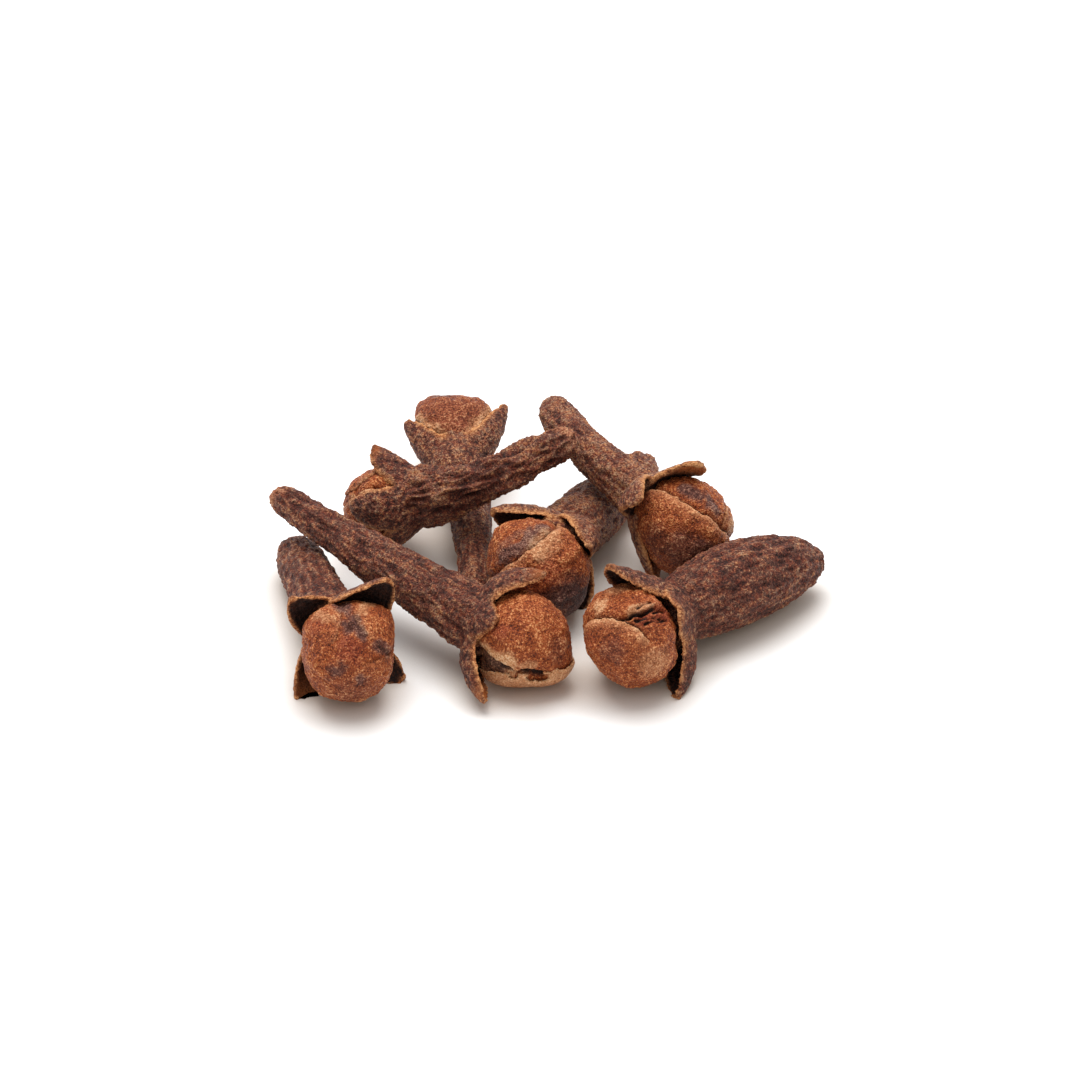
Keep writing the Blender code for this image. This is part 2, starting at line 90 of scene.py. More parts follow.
CLOVES = (
    Clove(
        "clove_front_left",
        bud=(-9.3, -9.1, 2.60), collar=(-10.2, -6.4, 2.25), waist=(-11.2, -2.7, 1.75),
        end=(-12.1, 0.8, 1.30), radii=(2.33, 1.50, 1.32, 1.14), seed=1, rough=0.4, torn=0.2, shade=0.02,
        lobes=(
            Lobe(40, 60, 57, 2.83, 1.26, 1.84, 0.44, -9, 3),
            Lobe(-34, 54, 47, 3.59, 1.60, 1.88, 0.61, 6, -2),
            Lobe(141, 55, 54, 3.01, 1.25, 2.79, 0.63, 4, -5, 0.5),
            Lobe(-134, 44, 57, 3.26, 1.36, 1.37, 0.42, -3, 5),
        ),
        bulges=(
            (72, -92, -0.22), (95, -50, 0.38), (116, -12, 0.02), (116, 46, 0.20), (108, 88, -0.15),
            (85, 127, 0.10), (64, 168, 0.12), (58, -140, 0.06),
        ),
        petals=(
            Petal(66, -174, 77, 0.15, 0.3, (40, -62, 34)), Petal(90, 50, 40, 0.25, 0.4, (80, 18, 30)),
            Petal(76, -46, 38, 0.20, 0.25, (70, -12, 30)),
        ),
        stains=(
            Stain("purple", 112, 0, 11, 0.9, (60, 3)), Stain("purple", 74, -3, 8, 0.9, (46, -6)),
            Stain("purple", 36, 92, 9, 0.8, (26, 66)), Stain("purple", 9, 165, 8, 0.8),
            Stain("purple", 42, -70, 9, 0.8, (38, -50)), Stain("purple", 32, 160, 30, 0.35),
            Stain("red", 33, 21, 17, 0.9), Stain("red", 92, 42, 15, 0.6),
            Stain("pale", 105, -36, 7, 0.5, (80, -16)), Stain("pale", 96, 34, 6, 0.4, (80, 20)),
        ),
        cracks=(
            Crack((112, 0), (60, 3), 0.20, 8.0, 0.0), Crack((60, 3), (46, -6), 0.08, 5.0, 0.0),
            Crack((60, 4), (44, 62), 0.08, 6.0, 0.0), Crack((45, -78), (38, -48), 0.12, 3.0, 0.5),
        ),
    ),
    Clove(
        "clove_long",
        bud=(-0.8, -7.7, 2.45), collar=(-3.4, -6.5, 2.75), waist=(-8.1, -2.5, 3.35),
        end=(-12.8, 1.5, 4.10), radii=(2.30, 1.60, 1.15, 0.75), seed=2, rough=0.6, torn=1.0, shade=0.03,
        lobes=(
            Lobe(-22, 71, -7, 3.52, 1.39, 2.24, 0.58, 2, -12, 1.0),
            Lobe(46, 42, 22, 1.96, 1.41, 0.97, 0.40, -4, 0),
            Lobe(117, 75, 21, 3.61, 1.21, 2.55, 0.65, 9, -2, 1.0),
            Lobe(-112, 26, 18, 2.60, 1.30, 1.60, 0.45, 0, 0),
        ),
        bulges=(
            (25, -77, -0.15), (66, -47, -0.40), (109, -33, -0.08), (114, 133, 0.33),
            (71, 147, -0.04), (30, 172, 0.32),
        ),
        petals=(Petal(73, -38, 132, 0.5, 0.6, (102, 92, 40)),),
        stains=(
            Stain("pale", 124, 92, 10, 1.0, (84, 88)), Stain("pale", 84, 88, 6, 0.5, (58, 90)),
            Stain("under", 108, 101, 22, 0.9), Stain("pale", 118, 108, 8, 0.8, (84, 106)),
            Stain("red", 107, 53, 12, 0.7), Stain("purple", 24, 53, 18, 0.3),
            Stain("purple", 112, 99, 4, 1.0, (92, 99)),
        ),
        cracks=(Crack((67, 104), (46, 118), 0.45, 7.0, 1.0), Crack((96, 98), (68, 106), 0.18, 4.0, 0.8)),
        shell=Shell(
            77, 168, 63, 2.39, 0.10,
            ((114, 133, 0.42), (30, 172, 0.38)),
            ((79, 107, 5), (56, 110, 8), (47, 116, 8)),
        ),
    ),
    Clove(
        "clove_front_right",
        bud=(4.3, -8.0, 2.70), collar=(6.5, -5.5, 2.40), waist=(10.8, -1.9, 2.00),
        end=(12.7, -0.6, 1.75), radii=(2.50, 1.55, 1.92, 1.38), seed=3, rough=0.4, shade=0.01,
        lobes=(
            Lobe(21, 40, 29, 4.31, 1.75, 1.74, 0.58, -9, 0),
            Lobe(-53, 25, 48, 2.83, 1.47, 2.14, 0.45, -4, 16, 1.0),
            Lobe(-132, 73, 11, 3.68, 1.49, 1.25, 1.06, 6, -6),
            Lobe(120, 45, 50, 3.00, 1.40, 1.60, 0.45, 0, 0),
        ),
        bulges=(
            (131, -85, -0.45), (136, -22, -0.40), (111, 24, -0.02), (78, 55, 0.09), (49, 95, -0.21),
            (44, 158, -0.28), (69, -156, -0.03), (102, -125, 0.03),
        ),
        petals=(Petal(19, -126, 58, 0.9, 1.3, (47, 5, 46)),),
        stains=(
            Stain("pale", 58, 30, 11, 0.7), Stain("pale", 83, 24, 13, 0.3),
            Stain("pale", 67, -94, 20, 0.35), Stain("purple", 22, -60, 14, 0.4),
            Stain("red", 21, 64, 12, 0.6), Stain("red", 74, -29, 12, 1.0, (96, -36)),
            Stain("pale", 66, -18, 4, 0.6, (90, -24)),
        ),
        cracks=(
            Crack((50, -13), (60, -20), 0.24, 2.0), Crack((60, -20), (74, -27), 0.40, 3.8),
            Crack((74, -27), (88, -30), 0.36, 3.0), Crack((61, -30), (89, -43), 0.28, 2.2),
            Crack((72, -18), (92, -22), 0.14, 1.4), Crack((68, -40), (94, -49), 0.22, 2.0),
            Crack((84, -35), (104, -38), 0.30, 2.2), Crack((70, -22), (94, -27), -0.16, 1.6),
            Crack((66, -34), (92, -38), -0.18, 1.6),
        ),
    ),
    Clove(
        "clove_middle",
        bud=(-0.3, -2.2, 2.65), collar=(1.1, 1.1, 2.20), waist=(2.7, 4.3, 1.60),
        end=(4.8, 8.0, 1.30), radii=(2.50, 1.60, 1.50, 1.20), seed=4, rough=0.42, torn=0.2, shade=0.13,
        lobes=(
            Lobe(48, 57, 19, 3.48, 1.46, 1.51, 0.76, -12, 9),
            Lobe(-51, 62, -8, 3.51, 1.38, 1.80, 0.76, -8, -17),
            Lobe(-149, 50, 40, 2.88, 1.24, 3.41, 0.45, -21, 3),
            Lobe(140, 40, 45, 3.20, 1.40, 1.60, 0.45, 0, 0),
        ),
        bulges=(
            (125, -37, -0.30), (115, 14, -0.14), (91, 54, 0.22), (67, 93, -0.12), (65, -166, 0.15),
            (89, -126, 0.23),
        ),
        petals=(Petal(87, -134, 114, 0.5, 0.9),),
        stains=(
            Stain("purple", 84, -6, 10, 0.9, (53, 3)), Stain("purple", 53, 4, 9, 0.9, (39, 42)),
            # The pale band on the next line is a painted highlight, the sheen of the right petal
            Stain("purple", 66, 14, 8, 0.5, (54, 34)), Stain("pale", 72, -20, 14, 0.55, (52, -20)),
            Stain("red", 42, -55, 14, 0.6), Stain("purple", 62, -98, 22, 1.0),
            Stain("purple", 85, -117, 27, 1.0), Stain("purple", 47, -110, 22, 1.0),
        ),
        cracks=(Crack((47, -104), (72, -98), -0.16, 2.4),),
    ),
    Clove(
        "clove_back_right",
        bud=(7.0, 0.8, 3.10), collar=(4.9, 2.4, 3.75), waist=(2.8, 4.3, 4.55),
        end=(0.7, 8.1, 4.80), radii=(2.40, 1.35, 1.06, 0.98), seed=5, rough=0.45, torn=0.3, shade=0.11,
        lobes=(
            Lobe(-22, 50, 46, 3.14, 1.34, 2.69, 0.15, -26, 24, 1.0),
            Lobe(49, 108, 19, 3.36, 1.21, 1.99, 0.22, -8, 0),
            Lobe(145, 50, 28, 3.42, 1.73, 2.10, 0.49, -4, 9, 1.0),
            Lobe(-95, 42, 48, 3.00, 1.40, 1.60, 0.45, 0, 0),
        ),
        bulges=(
            (80, -50, -0.13), (122, -33, -0.04), (157, 16, 0.10), (104, 118, -0.25),
            (58, 147, -0.14), (23, -164, -0.09),
        ),
        petals=(Petal(30, -73, 32, 0.6, 0.5), Petal(85, 125, 102, 0.7, 1.5)),
        stains=(
            Stain("purple", 100, 4, 10, 0.9, (58, -2)), Stain("pale", 33, -49, 12, 0.8),
            Stain("purple", 62, 75, 22, 0.6), Stain("purple", 39, 69, 17, 0.75),
            Stain("purple", 88, 80, 20, 0.4), Stain("red", 138, 45, 14, 0.6),
        ),
    ),
    Clove(
        "clove_back_left",
        bud=(-4.6, 9.7, 2.40), collar=(-4.3, 7.0, 2.10), waist=(-3.5, 2.9, 1.30),
        end=(-3.4, -1.7, 0.95), radii=(2.02, 1.45, 1.00, 0.85), squash=0.95, seed=6, rough=0.3, shade=0.08,
        lobes=(
            Lobe(-69, 34, 30, 2.72, 1.16, 1.40, 0.56, 6, 15),
            Lobe(72, 42, 17, 3.68, 1.24, 1.20, 0.60, -8, -7),
            Lobe(146, 31, 26, 3.20, 1.40, 1.60, 0.40, 3, 4),
            Lobe(-155, 34, 24, 3.10, 1.30, 1.80, 0.50, -4, 3),
        ),
        bulges=((96, 89, 0.16), (67, 54, 0.37), (57, -52, 0.30), (84, -91, -0.28)),
        petals=(Petal(61, 37, 93, 0.2, 0.4),),
        stains=(
            Stain("pale", 96, -56, 14, 0.7, (132, -34)), Stain("pale", 122, 42, 14, 0.7, (76, 68)),
            Stain("purple", 52, -17, 18, 0.7), Stain("purple", 90, 0, 60, 0.35),
            Stain("red", 128, 8, 16, 0.4),
        ),
    ),
    Clove(
        "clove_wrinkled",
        bud=(-8.0, 3.5, 2.75), collar=(-6.0, 2.9, 3.30), waist=(-2.6, 2.4, 4.75),
        end=(0.8, 3.7, 6.10), radii=(1.76, 1.50, 1.08, 0.88), seed=7, rough=1.0, torn=1.0, shade=0.06,
        lobes=(
            Lobe(14, 34, 46, 2.43, 1.13, 2.24, 0.47, -20, -2, 1.0),
            Lobe(-77, 51, -20, 3.02, 1.16, 2.91, 0.29, 16, 23),
            Lobe(-150, 48, 10, 3.10, 1.50, 2.20, 0.45, 0, 0),
            Lobe(96, 36, 30, 3.00, 1.30, 1.60, 0.45, 0, 0),
        ),
        bulges=((93, 33, -0.20), (52, 14, -0.23), (22, -50, 0.11), (46, -125, 0.26)),
        petals=(Petal(57, 18, 45, 0.4, 0.4), Petal(104, -126, 84, 0.7, 0.5)),
        stains=(
            Stain("pale", 57, -56, 9, 0.6), Stain("red", 38, -98, 14, 0.5),
            Stain("purple", 80, -25, 10, 0.3),
        ),
    ),
)

# Stem: stations along it and of its rounded end, and points round it. The rounding starts
# END_ROUNDING of the radius before the end, runs on for END_ROUND_REACH times that and
# takes END_TAPER of the section. Past the collar the stem is a cup, which flares by
# CUP_FLARE, is at most CUP_SHARE as wide as the bud and ends CUP_SHORT of the bud's radius
# below the bud's middle
STEM_STATIONS = 48
END_STATIONS = 10
STEM_POINTS = 64
END_ROUNDING = 0.6
END_ROUND_REACH = 2.4
END_TAPER = 0.8
CUP_SHORT = 0.7
CUP_FLARE = 1.10
CUP_SHARE = 0.75

# Lobe: stations along it, points round its section and how boxy that is, thickness at
# root and tip, how round its outline is and how wide its tip still is, and where its root
# is: this share of the collar's radius out from the axis, and this far above the collar
LOBE_STATIONS = 28
LOBE_POINTS = 44
LOBE_BOXINESS = 0.55
LOBE_ROOT_THICKNESS = 0.44
LOBE_TIP_THICKNESS = 0.28
LOBE_ROUNDING = 0.55
LOBE_TIP = 0.22
LOBE_ROOT = 0.85
LOBE_RISE = 0.25

# A lobe's light rim starts and is full at these shares of its half width and its length,
# and fades in past its root. It is fainter on the outer face, from this height down
RIM_ACROSS = (0.82, 0.92)
RIM_ALONG = (0.92, 0.97)
RIM_PAST_ROOT = (0.05, 0.30)
OUTER_FACE = -0.5
OUTER_RIM = 0.4

# Shares of a lobe's length over which its glow rises, on its inner and its outer face, and
# how strong it is on the outer one. The glow is partly the lobe's own orange and partly
# painted light
INNER_GLOW = (0.35, 0.9)
OUTER_GLOW = (0.7, 1.0)
OUTER_GLOW_SHARE = 0.7

# The skin of a stem and its lobes: width of its mesh cells and rounds of smoothing. A
# point takes the marks of so many points of the parts below it, blended softly
CELL = 0.076
SMOOTHING = 2
NEAR_POINTS = 4
NEAR_SOFTNESS = 0.02
BLOCKS = 16

# A relief of that skin is so high, long and wide, so much fainter on the lobes, and weighs
# so much in the skin's painted light and shade: raised skin is painted lighter and furrows
# darker
Relief = namedtuple("Relief", "height length width faint shade")
FOLDS = Relief(0.26, 2.4, 0.80, 0.7, 0.0)
WRINKLES = Relief(0.20, 1.0, 0.36, 0.8, 0.40)
LUMPS = Relief(0.050, 0.42, 0.42, 0.0, 0.35)
GRAINS = Relief(0.030, 0.17, 0.17, 0.0, 0.4)
STREAKS = Relief(0.030, 1.1, 0.18, 0.6, 0.7)

# What the grains weigh more in the painted light and shade of the lobes
LOBE_GRAINS = 0.5

# How much the painted light and shade of the skin's relief weighs in its colour, and the
# painted shade of level skin
PAINTED_RELIEF_SHARE = 0.32
LEVEL_SHADE = 0.5

# Depth of the torn end of a stem, how far it reaches up the stem, its soft border, how
# ragged that is, and how deep the end is where it has no lumps
TORN_DEPTH = 0.10
TORN_REACH = 0.9
TORN_BLEND = 0.7
TORN_RAGGED = 0.5
TORN_LEVEL = 0.6

# The bud: cells along a side of its six-sided grid, degrees that a bulge reaches, and
# the relief of its petals' edges, with widths in degrees
BUD_CELLS = 68
BULGE_REACH = 27.0
PETAL_GROOVE = 0.22
PETAL_GROOVE_WIDTH = 5.0
# Width of the painted shade on the lower petal along the edge of the one above
PETAL_GROOVE_SHADE_WIDTH = 1.8
PETAL_CROWN = 0.12
PETAL_CROWN_WIDTH = 4.0
PALE_BAND = 5.0

# A petal's edge wanders by so many degrees and so finely, fades out between these shares
# of its seam's span, and is pale only where it is seen by more than the least
PETAL_WAVE = 2.6
PETAL_WAVE_FINENESS = 3.0
SEAM_FADE = (0.8, 1.3)
SEAM_LEAST = 0.1

# How far a crack wanders, how finely, and between which shares of its depth painted shade
# turns it dark
CRACK_WAVE = 0.035
CRACK_WAVE_FINENESS = 7.0
CRACK_SHADE = (0.25, 0.75)

# How many degrees a stain's edge wanders, how coarsely, and the shares of its reach
# between which it fades
STAIN_WAVE = 6.0
STAIN_WAVE_LENGTH = 0.55
STAIN_FADE = (0.5, 1.4)

# A relief of the bud's skin is so high and wide, and weighs so much in its painted light
# and shade: raised skin is painted lighter and dips darker
BudRelief = namedtuple("BudRelief", "height width shade")
BUD_LUMPS = BudRelief(0.10, 0.9, 0.3)
BUD_KNOBS = BudRelief(0.06, 0.42, 0.3)
BUD_GRAINS = BudRelief(0.045, 0.20, 0.5)

# How far the shell's edge, its notches and its face wander, each with its fineness, and
# how pale it is away from its edge
SHELL_EDGE_WAVE = (3.0, 6.0)
NOTCH_WAVE = (2.5, 9.0)
SHELL_FACE_WAVE = (0.05, 5.0)
SHELL_PALENESS = 0.55

# Each step of the seed moves the noise by this much. Every finer layer of noise is so
# much finer and fainter than the last, and has its own seed
NOISE_STEP = (7.3, 1.9, 4.1)
LAYER_FINENESS = 2.1
LAYER_STRENGTH = 0.55
LAYER_SEED = 17

# Furrowed noise: its highest value, the depth of its furrows and how sharp they are
RIDGE_TOP = 0.4
FURROW_DEPTH = 2.2
FURROW_SHARPNESS = 0.8

# What each noise adds to its clove's seed
NOISE_SEEDS = {
    "folds": 0, "petals": 5, "wrinkles": 31, "lumps": 53, "grains": 71, "streaks": 89,
    "bud_lumps": 101, "bud_knobs": 115, "bud_grains": 131, "stains": 151, "cracks": 170,
    "shell_edge": 211, "notches": 223, "shell_face": 227,
}


def unit(vector):
    """The vector at length 1."""
    return vector / np.linalg.norm(vector)


def smooth_step(low, high, value):
    """0 below low, 1 above high and a smooth rise between them."""
    share = np.clip((value - low) / (high - low), 0.0, 1.0)
    return share * share * (3 - 2 * share)


def axes_of(clove):
    """The clove's own axes: along it to the bud's top, to its upper side, and across."""
    along = unit(np.array(clove.bud) - np.array(clove.collar))
    upper = unit(np.array((0.0, 0.0, 1.0)) - along * along[2])
    return along, upper, np.cross(along, upper)


def seed_of(clove, name):
    """The seed of one of a clove's noises."""
    return clove.seed + NOISE_SEEDS[name]


def field(points, seed):
    """Smooth noise between about -0.7 and 0.7 at each point."""
    offset = np.array(NOISE_STEP) * seed
    return np.array([noise.noise(point) for point in (points + offset).tolist()])


def rough_field(points, seed, layers=3):
    """Noise with finer and fainter noise on it."""
    total = np.zeros(len(points))
    for layer in range(layers):
        finer = field(points * LAYER_FINENESS ** layer, seed + LAYER_SEED * layer)
        total += finer * LAYER_STRENGTH ** layer
    return total


def ridged(points, seed):
    """Noise that forms sharp furrows between rounded folds, between about -1 and 0.4."""
    return RIDGE_TOP - FURROW_DEPTH * np.abs(field(points, seed)) ** FURROW_SHARPNESS


def stem_point(clove, t):
    """Middle and radius of the stem at t, 0 at the collar and 1 at its end.

    Both follow a parabola through collar, waist and end, with the waist at t = w.
    """
    stations = np.array((clove.collar, clove.waist, clove.end))
    near = np.linalg.norm(stations[1] - stations[0])
    far = np.linalg.norm(stations[2] - stations[1])
    w = near / (near + far)
    weights = np.array(((t - w) * (t - 1) / w, t * (t - 1) / (w * (w - 1)), t * (t - w) / (1 - w)))
    return weights @ stations, float(weights @ np.array(clove.radii[1:]))


def stem_stations(clove):
    """Middles and radii along the stem, from inside the bud to its rounded end."""
    along = axes_of(clove)[0]
    bud_radius, collar_radius = clove.radii[:2]
    cup_radius = min(collar_radius * CUP_FLARE, bud_radius * CUP_SHARE)
    stations = [(np.array(clove.bud) - along * bud_radius * CUP_SHORT, cup_radius)]
    length = np.linalg.norm(np.array(clove.end) - np.array(clove.collar))
    end_span = END_ROUNDING * clove.radii[3] / length
    for step in np.linspace(0, 1, STEM_STATIONS):
        stations.append(stem_point(clove, (1 - end_span) * step))
    for step in np.linspace(0, 1, END_STATIONS)[1:]:
        place, radius = stem_point(clove, 1 + end_span * (END_ROUND_REACH * step - 1))
        stations.append((place, radius * math.sqrt(1 - END_TAPER * step * step)))
    return np.array([s[0] for s in stations]), np.array([s[1] for s in stations])


def stem_frames(clove, middles):
    """Tangent and two cross directions at each station of the stem."""
    upper = axes_of(clove)[1]
    tangents = np.gradient(middles, axis=0)
    tangents /= np.linalg.norm(tangents, axis=1, keepdims=True)
    sides = upper - tangents * (tangents @ upper)[:, None]
    sides /= np.linalg.norm(sides, axis=1, keepdims=True)
    return tangents, sides, np.cross(tangents, sides)


def loft(rings):
    """A closed skin over rings of points: its points and faces."""
    count, around = rings.shape[:2]
    index = np.arange(count * around).reshape(count, around)
    turned = np.roll(index, -1, axis=1)
    quads = np.stack((index[:-1], turned[:-1], turned[1:], index[1:]), -1).reshape(-1, 4)
    first, last = count * around, count * around + 1
    faces = quads.tolist()
    faces += [(int(b), int(a), first) for a, b in zip(index[0], turned[0])]
    faces += [(int(a), int(b), last) for a, b in zip(index[-1], turned[-1])]
    points = np.concatenate((rings.reshape(-1, 3), rings[:1].mean(axis=1), rings[-1:].mean(axis=1)))
    return points, faces


def stem_rings(clove):
    """Rings of the stem's skin."""
    middles, radii = stem_stations(clove)
    sides, others = stem_frames(clove, middles)[1:]
    turn = np.linspace(0, 2 * math.pi, STEM_POINTS, endpoint=False)
    circle = sides[:, None] * np.cos(turn)[None, :, None] + others[:, None] * np.sin(turn)[None, :, None]
    return middles[:, None] + circle * radii[:, None, None]


# A lobe's rings of points, and how much each point is rim, hollow side and glow. The hollow
# side takes near-black painted shade, partly its own dark colour, and the glow is partly
# painted light
LobeSkin = namedtuple("LobeSkin", "rings rim hollow glow")


def lobe_skin(clove, lobe):
    """The skin of a lobe, which bends, leans and rolls from its root to its tip."""
    along, upper, across = axes_of(clove)
    turn = math.radians(lobe.turn)
    outward = upper * math.cos(turn) + across * math.sin(turn)
    side = np.cross(along, outward)
    place = np.array(clove.collar) + along * LOBE_RISE + outward * clove.radii[1] * LOBE_ROOT
    around = np.linspace(0, 2 * math.pi, LOBE_POINTS, endpoint=False)
    x = np.sign(np.cos(around)) * np.abs(np.cos(around)) ** LOBE_BOXINESS
    y = np.sign(np.sin(around)) * np.abs(np.sin(around)) ** LOBE_BOXINESS
    rings, rims, hollow_shades, glows = [], [], [], []
    for i in range(LOBE_STATIONS + 1):
        t = i / LOBE_STATIONS
        angle = math.radians(lobe.opens + (lobe.curls - lobe.opens) * t)
        sway, roll = math.radians(lobe.lean) * t, math.radians(lobe.twist) * t
        straight = along * math.cos(angle) + outward * math.sin(angle)
        inward = along * math.sin(angle) - outward * math.cos(angle)
        ahead = straight * math.cos(sway) + side * math.sin(sway)
        level = side * math.cos(sway) - straight * math.sin(sway)
        flat = level * math.cos(roll) + inward * math.sin(roll)
        normal = inward * math.cos(roll) - level * math.sin(roll)
        width = lobe.half_width * max((1 - t ** lobe.taper) ** LOBE_ROUNDING, LOBE_TIP)
        thickness = LOBE_ROOT_THICKNESS + (LOBE_TIP_THICKNESS - LOBE_ROOT_THICKNESS) * t
        offset = lobe.hollow * width * x ** 2 + y * thickness / 2
        rings.append(place + flat * (width * x)[:, None] + normal * offset[:, None])
        edge = np.maximum(smooth_step(*RIM_ACROSS, np.abs(x)), smooth_step(*RIM_ALONG, t))
        face = np.where(y < OUTER_FACE, OUTER_RIM, 1.0)
        rims.append(edge * smooth_step(*RIM_PAST_ROOT, t) * face)
        # The inner face is marked for near-black painted shade, partly its own dark colour
        hollow_shades.append((y > 0) * (1 - edge))
        # Orange glow towards the tip, partly the lobe's own colour and partly painted light
        outer_glow = OUTER_GLOW_SHARE * smooth_step(*OUTER_GLOW, t)
        glow = np.where(y > 0, smooth_step(*INNER_GLOW, t), outer_glow)
        glows.append(lobe.glow * glow * (1 - edge))
        place = place + ahead * lobe.length / LOBE_STATIONS
    return LobeSkin(*(np.array(values) for values in (rings, rims, hollow_shades, glows)))


def new_mesh(name, points, faces):
    """A mesh of these points and faces."""
    mesh = bpy.data.meshes.new(name)
    mesh.from_pydata(points.tolist(), [], faces)
    return mesh


def join(parts):
    """Points and faces of several skins as one list of each."""
    points, faces, start = [], [], 0
    for part_points, part_faces in parts:
        points.append(part_points)
        faces += [[corner + start for corner in face] for face in part_faces]
        start += len(part_points)
    return np.concatenate(points), faces


def drop_scraps(mesh):
    """Keeps only the largest of the separate skins in a mesh."""
    work = bmesh.new()
    work.from_mesh(mesh)
    left = set(work.verts)
    skins = []
    while left:
        skin = {left.pop()}
        border = list(skin)
        while border:
            vertex = border.pop()
            near = {edge.other_vert(vertex) for edge in vertex.link_edges} & left
            left -= near
            skin |= near
            border.extend(near)
        skins.append(skin)
    largest = max(skins, key=len)
    scraps = [vertex for skin in skins if skin is not largest for vertex in skin]
    bmesh.ops.delete(work, geom=scraps, context="VERTS")
    work.to_mesh(mesh)
    work.free()


def grown_together(name, parts):
    """One even skin round several closed skins that meet."""
    mesh = new_mesh(name, *join(parts))
    work = bmesh.new()
    work.from_mesh(mesh)
    bmesh.ops.recalc_face_normals(work, faces=work.faces)
    work.to_mesh(mesh)
    work.free()
    rough = bpy.data.objects.new(name + "_rough", mesh)
    bpy.context.scene.collection.objects.link(rough)
    remesh = rough.modifiers.new("Skin", "REMESH")
    remesh.mode = "VOXEL"
    remesh.voxel_size = CELL
    graph = bpy.context.evaluated_depsgraph_get()
    skin = bpy.data.meshes.new_from_object(rough.evaluated_get(graph))
    bpy.data.objects.remove(rough, do_unlink=True)
    bpy.data.meshes.remove(mesh)
    drop_scraps(skin)
    return skin


def points_of(mesh):
    """The mesh's points as rows of numbers."""
    points = np.empty(len(mesh.vertices) * 3)
    mesh.vertices.foreach_get("co", points)
    return points.reshape(-1, 3)


def set_points(mesh, points):
    """Moves the mesh's points to these places."""
    mesh.vertices.foreach_set("co", points.ravel())
    mesh.update()


def normals_of(mesh):
    """The direction in which the mesh faces at each point."""
    normals = np.empty(len(mesh.vertices) * 3)
    mesh.vertices.foreach_get("normal", normals)
    return normals.reshape(-1, 3)


def relax(mesh, rounds):
    """Moves each point halfway to the middle of its neighbours, so that cells turn smooth."""
    edges = np.empty(len(mesh.edges) * 2, dtype=np.int64)
    mesh.edges.foreach_get("vertices", edges)
    edges = edges.reshape(-1, 2)
    points = points_of(mesh)
    ends = np.concatenate((edges[:, 0], edges[:, 1]))
    others = np.concatenate((edges[:, 1], edges[:, 0]))
    degree = np.bincount(ends, minlength=len(points))
    for _ in range(rounds):
        total = [np.bincount(ends, weights=points[others, k], minlength=len(points)) for k in range(3)]
        points = (points + np.stack(total, -1) / degree[:, None]) / 2
    set_points(mesh, points)


def carried(points, sources, *values):
    """Values of the source points at each point, blended over the nearest of them."""
    tree = kdtree.KDTree(len(sources))
    for index, source in enumerate(sources.tolist()):
        tree.insert(source, index)
    tree.balance()
    results = np.zeros((len(values), len(points)))
    for i, point in enumerate(points.tolist()):
        found = tree.find_n(point, NEAR_POINTS)
        nearness = [1 / (distance + NEAR_SOFTNESS) for _, _, distance in found]
        whole = sum(nearness)
        for k, value in enumerate(values):
            results[k, i] = sum(value[hit[1]] * near for hit, near in zip(found, nearness)) / whole
    return results


def travel_of(middles):
    """Distance along the stem at each station."""
    return np.concatenate(([0.0], np.cumsum(np.linalg.norm(np.diff(middles, axis=0), axis=1))))


def stem_coordinates(clove, points):
    """How far along the stem each point is, and its place across it."""
    middles = stem_stations(clove)[0]
    tangents, sides, others = stem_frames(clove, middles)
    travel = travel_of(middles)
    nearest = np.concatenate([
        ((block[:, None] - middles[None]) ** 2).sum(-1).argmin(1)
        for block in np.array_split(points, BLOCKS)
    ])
    offset = points - middles[nearest]
    distance = travel[nearest] + (offset * tangents[nearest]).sum(-1)
    return np.stack((
        distance, (offset * sides[nearest]).sum(-1), (offset * others[nearest]).sum(-1)
    ), -1)


def set_masks(mesh, masks):
    """Keeps each mask's value for each point of the mesh, for the material to read."""
    for name, values in masks.items():
        layer = mesh.attributes.new(name, "FLOAT", "POINT")
        layer.data.foreach_set("value", np.clip(values, 0.0, 1.0).astype(np.float32))


def add_piece(name, node, mesh, material):
    """A piece of the clove that stands for the clove's solid."""
    mesh.materials.clear()
    mesh.materials.append(material)
    mesh.shade_smooth()
    piece = bpy.data.objects.new(name, mesh)
    bpy.context.scene.collection.objects.link(piece)
    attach(piece, BODY)
    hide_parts(node)


def spread(stem, lobes, kind, root, tip):
    """A mark of the lobes' skins for every point of the parts, 0 on the stem.

    A loft ends with the middle of its first ring and of its last, the root and the tip.
    """
    marks = [np.append(getattr(lobe, kind), (root, tip)) for lobe in lobes]
    return np.concatenate([np.zeros(len(stem[0]))] + marks)


def scaled(points, relief):
    """Points in lengths and widths of a relief."""
    return points / (relief.length, relief.width, relief.width)


